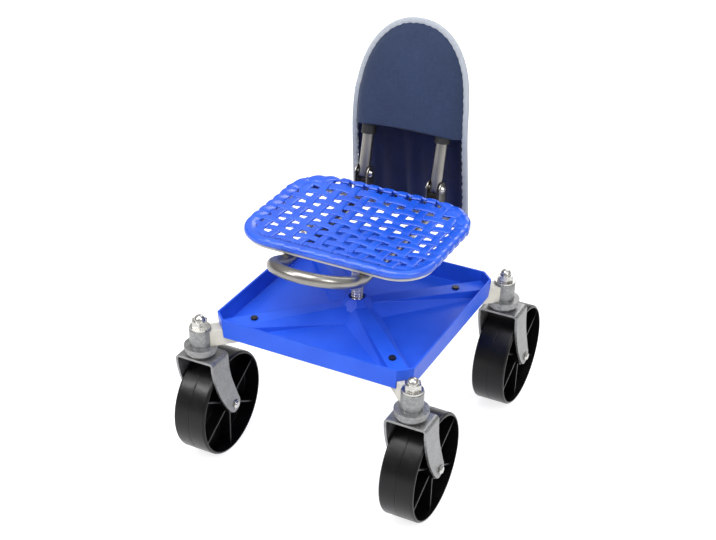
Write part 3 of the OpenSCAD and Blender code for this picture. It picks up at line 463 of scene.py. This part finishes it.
def seat_lift(x, y):
    """Rise of the sitting surface at the back, the front and the sides. x and y are from the seat's middle."""
    def rise(share, start, power):
        """0 up to a start, then up to 1."""
        return np.clip((share - start) / (1 - start), 0, None) ** power

    back = BACK_RISE * rise(y / SEAT_HALF_D, 0, BACK_RISE_POWER)
    front = FRONT_RISE * rise(-y / SEAT_HALF_D, FRONT_START, RISE_POWER)
    side = SIDE_RISE * rise(abs(x) / SEAT_HALF_W, SIDE_START, RISE_POWER)
    return np.hypot(back + front, side)


def reach(across, half_across, half_along, radius):
    """How far a strip runs from the middle before it meets the rim's inner edge."""
    into = max(0.0, abs(across) - (half_across - radius))
    return half_along - radius + math.sqrt(radius ** 2 - into ** 2)


def strip(along_x, number):
    """One strip of the weave, over and under the strips that cross it, into the rim at both ends."""
    pitch, cross_pitch = (PITCH_Y, PITCH_X) if along_x else (PITCH_X, PITCH_Y)
    count, cross_count = (GAPS_Y, GAPS_X) if along_x else (GAPS_X, GAPS_Y)
    width = PITCH_Y - GAP_Y if along_x else PITCH_X - GAP_X
    halves = (SEAT_HALF_D - RIM_W, SEAT_HALF_W - RIM_W)
    half_across, half_along = halves if along_x else halves[::-1]
    across = (number - (count - 2) / 2) * pitch
    if along_x and number == count - 2:
        width, across = width + BACK_STRIP_EXTRA, across + BACK_STRIP_EXTRA / 2
    end = reach(across, half_across, half_along, SEAT_R - RIM_W) + RIM_W * 3 / 4
    run = np.linspace(-end, end, 2 * int(end / STRIP_STEP) + 1)
    phase = run / cross_pitch + (cross_count - 2) / 2
    swing = (1 if along_x else -1) * (-1) ** number * np.tanh(WAVE_SHARPNESS * np.cos(np.pi * phase))
    fade = np.clip((end - abs(run)) / (2 * RIM_W), 0, 1)
    fade = fade * fade * (3 - 2 * fade)
    x, y = (run, np.full_like(run, across)) if along_x else (np.full_like(run, across), run)
    z = SEAT_TOP + seat_lift(x, y) - STRIP_T / 2 - WAVE - CROWN + WAVE * swing * fade - END_DROP * (1 - fade)
    outline = oval(width, STRIP_T, STRIP_SIDES, STRIP_POWER)
    side_x, side_y = (0.0, 1.0) if along_x else (1.0, 0.0)
    left, right = [seat_lift(x + side_x * way, y + side_y * way) for way in (-TILT_REACH, TILT_REACH)]
    tilt = (right - left) / (2 * TILT_REACH)
    crown = CROWN * (1 - (2 * outline[:, 0] / width) ** 2)
    rings = np.empty((len(run), len(outline), 3))
    rings[..., 0] = x[:, None] + side_x * outline[:, 0]
    rings[..., 1] = y[:, None] + side_y * outline[:, 0] + SEAT_Y
    rings[..., 2] = z[:, None] + outline[:, 1] + crown + tilt[:, None] * outline[:, 0]
    return skin(rings)


def rim_path():
    """Points along the middle of the rim: place, outward normal, wrap phase, and the wraps' kind."""
    w, d, r = SEAT_HALF_W - RIM_W / 2, SEAT_HALF_D - RIM_W / 2, SEAT_R - RIM_W / 2
    legs = [((-(w - r), -d), (1, 0), 2 * (w - r), FRONT_WRAPS, FRONT_CORNERS),
            ((w, -(d - r)), (0, 1), 2 * (d - r), SIDE_WRAPS, SIDE_WRAPS),
            ((w - r, d), (-1, 0), 2 * (w - r), BACK_WRAPS, SIDE_WRAPS),
            ((-w, d - r), (0, -1), 2 * (d - r), SIDE_WRAPS, FRONT_CORNERS)]
    rows = []
    for k, (start, way, length, wraps, corner_wraps) in enumerate(legs):
        normal = (way[1], -way[0])
        pitch, gaps = ((PITCH_X, GAPS_X), (PITCH_Y, GAPS_Y))[k % 2]
        for t in np.arange(0, length, length / round(length / RIM_STEP)):
            x, y = start[0] + way[0] * t, start[1] + way[1] * t
            phase = (x if k % 2 == 0 else y) / pitch + (gaps - 1) / 2
            rows.append((x, y, *normal, phase, *wraps))
        turn = math.pi / 2 * r
        middle = (start[0] + way[0] * length - normal[0] * r, start[1] + way[1] * length - normal[1] * r)
        for t in np.arange(0, turn, turn / round(turn / RIM_STEP)):
            a = math.atan2(normal[1], normal[0]) + t / r
            rows.append((middle[0] + r * math.cos(a), middle[1] + r * math.sin(a), math.cos(a), math.sin(a),
                         t * WRAPS_A_CORNER / turn + 1 / 2, *corner_wraps))
    return np.array(rows)


def eased(values, count):
    """Values round a loop, each the mean of a count of neighbours."""
    return np.convolve(np.pad(values, count // 2, mode="wrap"), np.ones(count) / count, mode="valid")


def rim():
    """Rolled rim with the wraps of the weave round it, standing on the steel rod."""
    x, y, nx, ny, phase, proud, power, shoulder = rim_path().T
    wrap = ((1 - np.cos(2 * np.pi * phase)) / 2) ** power
    lip = eased(shoulder == BACK_SHOULDER, LIP_EASING)
    swell, shoulder = eased(proud * (2 * wrap - 1), SWELL_EASING), eased(shoulder, SHOULDER_EASING)
    rings = np.empty((len(x), len(RIM_SECTION), 3))
    for k, (across, inside, level, up, swell_out, swell_up) in enumerate(RIM_SECTION):
        out = np.full_like(x, across * MM)
        if inside is not None:
            out = np.maximum(out, inside * MM - RIM_W / 2 - shoulder)
        inner = np.minimum(out, 0)
        crest = SEAT_TOP + seat_lift(x + nx * inner, y + ny * inner)
        out = out + swell * swell_out
        foot = RIM_FOOT_Z + (crest - LIP_DROP - RIM_FOOT_Z) * lip
        if inside is None and across < 0:
            out = out + lip * (LIP_INSIDE - out)
        if level == "foot":
            up = up * (1 - LIP_FLATNESS * lip)
        z = (crest if level == "crest" else foot) + up * MM + swell * swell_up
        rings[:, k] = np.stack([x + nx * out, y + ny * out + SEAT_Y, z], axis=1)
    return skin(rings, loop=True)


def back_wrap(x):
    """Strip that goes over the back rim and down to the steel rod, between two open gaps."""
    levels = {"crest": SEAT_TOP + seat_lift(x, SEAT_HALF_D - RIM_W / 2), "foot": RIM_FOOT_Z}
    path = np.array([(back * MM, levels[level] + up * MM) for back, level, up in WRAP_PATH])
    way = np.gradient(path, axis=0)
    out = np.stack([-way[:, 1], way[:, 0]], axis=1) / np.linalg.norm(way, axis=1)[:, None]
    outline = oval(PITCH_X - GAP_X + WRAP_EXTRA, WRAP_T, STRIP_SIDES, WRAP_POWER)
    rings = np.empty((len(path), len(outline), 3))
    rings[..., 0] = x + outline[:, 0]
    rings[..., 1] = path[:, None, 0] + out[:, None, 0] * outline[:, 1] + SEAT_Y
    rings[..., 2] = path[:, None, 1] + out[:, None, 1] * outline[:, 1]
    return skin(rings)


def woven_seat():
    """The whole seat in one piece: strips both ways, the wraps over the back rim, and the rim."""
    parts = [strip(True, j) for j in range(GAPS_Y - 1)] + [strip(False, i) for i in range(GAPS_X - 1)]
    parts += [back_wrap(i * PITCH_X) for i in range(-WRAPS_EACH_SIDE, WRAPS_EACH_SIDE + 1)] + [rim()]
    new_piece("woven_seat", *joined(parts), "seat", "seat_blue", "seat_pan")


# Height screw

def threaded_screw():
    """Screw with a helical thread, and the cross pin at its foot."""
    run = np.arange(SCREW_LOW, SCREW_TOP, THREAD_PITCH / STEPS_A_TURN)
    rings = np.empty((len(run), SCREW_SIDES, 3))
    for k, turn in enumerate(turns(SCREW_SIDES)):
        off_root = abs((run / THREAD_PITCH - k / SCREW_SIDES) % 1 - 1 / 2)
        depth = THREAD_DEPTH * np.clip((THREAD_ROOT / 2 + THREAD_FLANK - off_root) / THREAD_FLANK, 0, 1)
        depth = depth + np.clip((SCREW_LOW + POINT_LENGTH - run) * POINT_DEPTH / POINT_LENGTH, 0, None)
        radius = SCREW_R - depth
        rings[:, k] = np.stack([radius * math.cos(turn), SCREW_Y + radius * math.sin(turn), run], axis=1)
    ends = ((-PIN_HALF, PIN_END), (-PIN_HALF + PIN_BEVEL, 1.0), (PIN_HALF - PIN_BEVEL, 1.0), (PIN_HALF, PIN_END))
    turn = turns(PIN_SIDES)
    pin = [np.stack([np.full(PIN_SIDES, x), SCREW_Y + share * PIN_R * np.cos(turn),
                     SCREW_LOW + PIN_UP + share * PIN_R * np.sin(turn)], axis=1) for x, share in ends]
    new_piece("height_screw", *joined([skin(rings), skin(pin)]), "seat", "screw_steel", "seat_screw")


# Backrest cover

def arch(v):
    """Half the arch's width at a height, both as shares."""
    return max(0.0, 1 - v ** ARCH_POWER) ** (1 / ARCH_POWER)


def half_width(h):
    """Half the panels' width at height h, inside the seam."""
    share = 1.0 if h <= ARCH_LOW else arch(min(1.0, (h - ARCH_LOW) / (ARCH_H - SEAM_INSET)))
    return (REST_HALF - SEAM_INSET) * share


def knee(h):
    """Height up the lean from which a point of the cover hangs."""
    if abs(h - KINK_H) > KINK_SOFT:
        return max(h, KINK_H)
    return KINK_H + (h - KINK_H + KINK_SOFT) ** 2 / (4 * KINK_SOFT)


def hang(h):
    """Share of the way down to the rear panel's hem."""
    return (knee(h) - h) / (KINK_H + REAR_DROP)


def flare(x, h):
    """How far the cover spreads at its edges."""
    share = max(0.0, KINK_H + KINK_SOFT - h) / (KINK_H + KINK_SOFT + REAR_DROP)
    return math.copysign(HEM_FLARE * share ** FLARE_POWER * min(1.0, abs(x) / LEG_X), x)


def cover_place(x, off, h):
    """Point of the cover: across, behind the posts and up from the hinge. Its lower part hangs down."""
    k = knee(h)
    return Vector((x + flare(x, h),
                   HINGE_Y + off * math.cos(LEAN) + k * math.sin(LEAN) + HEM_KICK * hang(h),
                   HINGE_Z - off * math.sin(LEAN) + k * math.cos(LEAN) - (k - h)))


def leaning_place(x, off, h):
    """The same for a point that leans with the posts all the way down."""
    return Vector((x, HINGE_Y + off * math.cos(LEAN) + h * math.sin(LEAN),
                   HINGE_Z - off * math.sin(LEAN) + h * math.cos(LEAN)))


def outline(margin, low, arch_steps):
    """The cover's flat outline from one lower corner over the arch to the other, then along the hem."""
    half = REST_HALF - margin
    steps = max(LEAST_SIDE_STEPS, int((ARCH_LOW - low) / CLOTH_CELL))
    right = [(half, h) for h in np.linspace(low, ARCH_LOW, steps, endpoint=False)]
    over = []
    for a in np.linspace(0, math.pi, arch_steps * 2 + 1):
        v = math.sin(a) if a <= math.pi / 2 else math.sin(math.pi - a)
        over.append((math.copysign(half * arch(v), math.cos(a)), ARCH_LOW + (ARCH_H - margin) * v))
    left = [(-x, h) for x, h in reversed(right)]
    hem = [(x, low) for x in np.linspace(-half, half, HEM_STEPS)[1:-1]]
    return right + over + left, hem


def flat_sheet(low):
    """Triangles that fill a panel's outline, as flat points, faces and the count of points held in the binding."""
    held, hem = outline(SEAM_INSET, low, ARCH_STEPS)
    edge = held + hem
    inner = []
    for k, h in enumerate(np.arange(low + CLOTH_CELL, REST_H, CLOTH_CELL * ROW_SHARE)):
        half = half_width(h) - EDGE_SHARE * CLOTH_CELL
        if h > PANEL_TOP - EDGE_SHARE * CLOTH_CELL or half <= 0:
            continue
        start = (k % 2) * CLOTH_CELL / 2 - CELLS_LEFT * CLOTH_CELL
        inner += [(x, h) for x in np.arange(start, half, CLOTH_CELL) if abs(x) < half]
    points = [Vector(p) for p in edge + inner]
    borders = [(i, (i + 1) % len(edge)) for i in range(len(edge))]
    made = delaunay_2d_cdt(points, borders, [], TRIANGLES_INSIDE, MERGE_DISTANCE)
    return [tuple(p) for p in made[0]], made[2], len(held)


def front_place(x, h):
    """The front panel swells over the posts and meets the binding at its edge. Its hem hangs lower at the corners."""
    u = min(1.0, abs(x) / max(TINY, half_width(min(h, PANEL_TOP))))
    v = min(1.0, (h - FRONT_HEM) / (PANEL_TOP - FRONT_HEM))
    side = x / REST_HALF
    drop = HEM_DROP + HEM_CORNER * abs(side) ** HEM_CORNER_POWER - HEM_SLOPE * side
    h -= drop * max(0.0, 1 - (h - FRONT_HEM) / HEM_REACH) ** 2
    swell = math.sqrt(max(0.0, 1 - u ** SWELL_POWER_ACROSS)) * (1 - v ** SWELL_POWER_UP)
    edge = cover_place(x, FRONT_SEAM_OFF, h)
    return edge.lerp(leaning_place(edge.x, FRONT_OFF + CLOTH_T, h), swell)


def rear_place(x, h):
    """The rear panel lies flat behind the board and hangs in soft upright folds below it."""
    u = min(1.0, abs(x) / max(TINY, half_width(min(h, PANEL_TOP))))
    v = max(0.0, h - ARCH_LOW) / (PANEL_TOP - ARCH_LOW)
    flat = (1 - u ** FLAT_POWER) * max(0.0, 1 - min(1.0, v) ** FLAT_POWER)
    drift = FOLD_DRIFT * math.sin(DRIFT_RATE * x / REST_HALF)
    fold = FOLD_DEPTH * (1 - math.cos(2 * math.pi * FOLDS * x / REST_HALF + drift)) / 2 * hang(h)
    return cover_place(x, SEAM_OFF + (REAR_OFF - SEAM_OFF) * flat + fold + REAR_GAP, h)


def settle(piece, pinned, solids, cap, inward):
    """Lets the cloth settle under gravity, held at its pinned points, and keeps each point near where it began
    and outside the frame that it covers. inward is 1 where the frame lies behind the cloth, or else -1."""
    scene = bpy.context.scene
    start = np.array([v.co for v in piece.data.vertices])
    group = piece.vertex_groups.new(name="held")
    group.add(pinned, 1.0, "REPLACE")
    cloth = piece.modifiers.new("settle", "CLOTH")
    for key, value in CLOTH_SETTINGS.items():
        setattr(cloth.settings, key, value)
    cloth.settings.vertex_group_mass = "held"
    cloth.collision_settings.use_self_collision = False
    cloth.collision_settings.distance_min = CLOTH_GAP
    cloth.point_cache.frame_start, cloth.point_cache.frame_end = 1, SETTLE_FRAMES
    hits = []
    for node in solids:
        copy = bpy.data.objects.new(node + "_hit", NODES[node].data.copy())
        scene.collection.objects.link(copy)
        copy.modifiers.new("hit", "COLLISION")
        copy.collision.thickness_outer = FRAME_GAP
        copy.collision.cloth_friction = FRAME_FRICTION
        hits.append(copy)
    for k in range(1, SETTLE_FRAMES + 1):
        scene.frame_set(k)
    shape = piece.evaluated_get(bpy.context.evaluated_depsgraph_get()).data
    moved = np.array([v.co for v in shape.vertices]) - start
    piece.modifiers.clear()
    for copy in hits:
        bpy.data.objects.remove(copy)
    scene.frame_set(1)
    far = np.linalg.norm(moved, axis=1, keepdims=True)
    moved *= np.minimum(1.0, cap / np.maximum(far, TINY * MM))
    into_frame = np.array((0.0, math.cos(LEAN), -math.sin(LEAN))) * inward
    moved -= np.clip(moved @ into_frame - FRAME_CAP, 0, None)[:, None] * into_frame
    piece.data.vertices.foreach_set("co", (start + moved).astype(np.float32).ravel())
    piece.data.update()


def cloth_panel(name, node, place, low, slot, solids, cap, inward):
    """One panel of the cover: cut flat, bent to its place, settled and given its thickness."""
    flat, faces, held = flat_sheet(low)
    piece = new_piece(name, [place(x, h) for x, h in flat], faces, "backrest", slot, node)
    layer = piece.data.uv_layers.new(name="UVMap")
    for corner in piece.data.loops:
        layer.data[corner.index].uv = flat[corner.vertex_index]
    settle(piece, list(range(held)), solids, cap, inward)
    thick = piece.modifiers.new("thickness", "SOLIDIFY")
    thick.thickness = CLOTH_T
    thick.offset = 0
    smooth = piece.modifiers.new("smooth", "SUBSURF")
    smooth.levels = smooth.render_levels = 1
    return piece, cut_area(flat, faces)


def cut_area(flat, faces):
    """Area of a panel's flat triangles."""
    total = 0.0
    for a, b, c in faces:
        (ax, ay), (bx, by), (cx, cy) = flat[a], flat[b], flat[c]
        total += abs((bx - ax) * (cy - ay) - (cx - ax) * (by - ay)) / 2
    return total


def binding():
    """Tape folded over the seam: a soft band whose inner edge is a little wavy from its stitches."""
    held, _ = outline(0.0, -REAR_DROP, TAPE_ARCH_STEPS)
    line = np.array(held)
    length = np.concatenate([[0], np.cumsum(np.linalg.norm(np.diff(line, axis=0), axis=1))])
    even = np.arange(0, length[-1], TAPE_STEP)
    xs, hs = np.interp(even, length, line[:, 0]), np.interp(even, length, line[:, 1])
    waves = STITCH_WAVE * np.sin(2 * np.pi * even / STITCH_PITCH)
    waves = waves + SLACK_WAVE * np.sin(2 * np.pi * even / SLACK_PITCH + SLACK_PHASE)
    rings = []
    for x, h, wave in zip(xs, hs, waves):
        ring = []
        for a, b in oval(1.0, 1.0, TAPE_SIDES, TAPE_POWER):
            inset = (1 / 2 - a) * TAPE_W + (wave if a < 0 else 0)
            scale = 1 - inset / REST_HALF
            lift = ARCH_LOW + (h - ARCH_LOW) * (1 - inset / ARCH_H) if h > ARCH_LOW else h
            thick = TAPE_T * (TAPE_THIN + (1 - TAPE_THIN) * (a + 1 / 2) + TAPE_SWELL * wave / MM)
            ring.append(cover_place(x * scale, TAPE_OFF + b * thick, lift))
        rings.append(ring)
    new_piece("back_binding", *skin(rings), "backrest", "grey_binding", "cover_binding")


def backrest():
    """The cover's two panels, cut flat and settled as cloth, and the binding round them."""
    posts, board = ["post_left", "post_right", "collar_left", "collar_right"], ["back_board"]
    front, area = cloth_panel("front_panel", "cover_front", front_place, FRONT_HEM, "navy_cloth", posts + board,
                              FRONT_CAP, inward=1)
    rear, area = cloth_panel("rear_panel", "cover_rear", rear_place, -REAR_DROP, "dark_cloth", board,
                             REAR_CAP, inward=-1)
    binding()


# Studio

def aimed(name, data, place, way):
    """A camera or lamp at its place, turned to face along a direction."""
    piece = bpy.data.objects.new(name, data)
    piece.location = place
    piece.rotation_euler = way.to_track_quat("-Z", "Y").to_euler()
    bpy.context.scene.collection.objects.link(piece)
    return piece


def camera():
    """The photograph's view, with its frame shifted as the photograph's is."""
    data = bpy.data.cameras.new("camera")
    data.sensor_width = SENSOR_MM
    data.lens = FOCAL_PX / PHOTO_W * SENSOR_MM
    data.shift_x = (PHOTO_W / 2 - CENTRE_PX[0]) / PHOTO_W
    data.shift_y = (CENTRE_PX[1] - PHOTO_H / 2) / PHOTO_W
    back = Vector((math.sin(AZIMUTH) * math.cos(ELEVATION), -math.cos(AZIMUTH) * math.cos(ELEVATION),
                   math.sin(ELEVATION)))
    bpy.context.scene.camera = aimed("camera", data, CAMERA_EYE, -back)


def lamps():
    """Square soft lights that face the seat."""
    for name, place, size, power in LAMPS:
        data = bpy.data.lights.new(name, "AREA")
        data.size = size
        data.energy = power
        aimed(name, data, place, LAMP_AIM - Vector(place))


def floor():
    """Pale floor that glows a little, so that it looks white."""
    low, high = -FLOOR_HALF, FLOOR_HALF
    mesh = bpy.data.meshes.new("floor")
    mesh.from_pydata([(low, low, 0), (high, low, 0), (high, high, 0), (low, high, 0)], [], [(0, 1, 2, 3)])
    piece = bpy.data.objects.new("floor", mesh)
    bpy.context.scene.collection.objects.link(piece)
    look = Look("floor_white", Specular_IOR_Level=0.1, Emission_Color=WHITE, Emission_Strength=FLOOR_GLOW)
    cloud = look.noise(scale=3, detail=3)
    mesh.materials.append(look.finish(look.mix(cloud, *FLOOR_GREYS), look.spread(cloud, low=0.85, high=0.95)))


def sky():
    """Soft light from above that dims towards the horizon, before a white backdrop."""
    world = bpy.data.worlds.new("studio")
    bpy.context.scene.world = world
    world.use_nodes = True
    nodes, links = world.node_tree.nodes, world.node_tree.links
    split = nodes.new("ShaderNodeSeparateXYZ")
    links.new(nodes.new("ShaderNodeTexCoord").outputs["Generated"], split.inputs["Vector"])
    dim = nodes.new("ShaderNodeMapRange")
    links.new(split.outputs["Z"], dim.inputs["Value"])
    ranges = {"From Min": SKY_LOW, "From Max": SKY_HIGH, "To Min": SKY_DIM, "To Max": SKY_BRIGHT}
    for key, number in ranges.items():
        dim.inputs[key].default_value = number
    seen = nodes.new("ShaderNodeMath")
    seen.operation = "MAXIMUM"
    links.new(dim.outputs["Result"], seen.inputs[0])
    links.new(nodes.new("ShaderNodeLightPath").outputs["Is Camera Ray"], seen.inputs[1])
    links.new(seen.outputs["Value"], nodes["Background"].inputs["Strength"])
    nodes["Background"].inputs["Color"].default_value = WHITE


def studio():
    """Everything round the object."""
    sky()
    lamps()
    floor()
    bpy.context.scene.view_settings.view_transform = "Standard"


dress_cad_nodes()
woven_seat()
threaded_screw()
backrest()
camera()
studio()
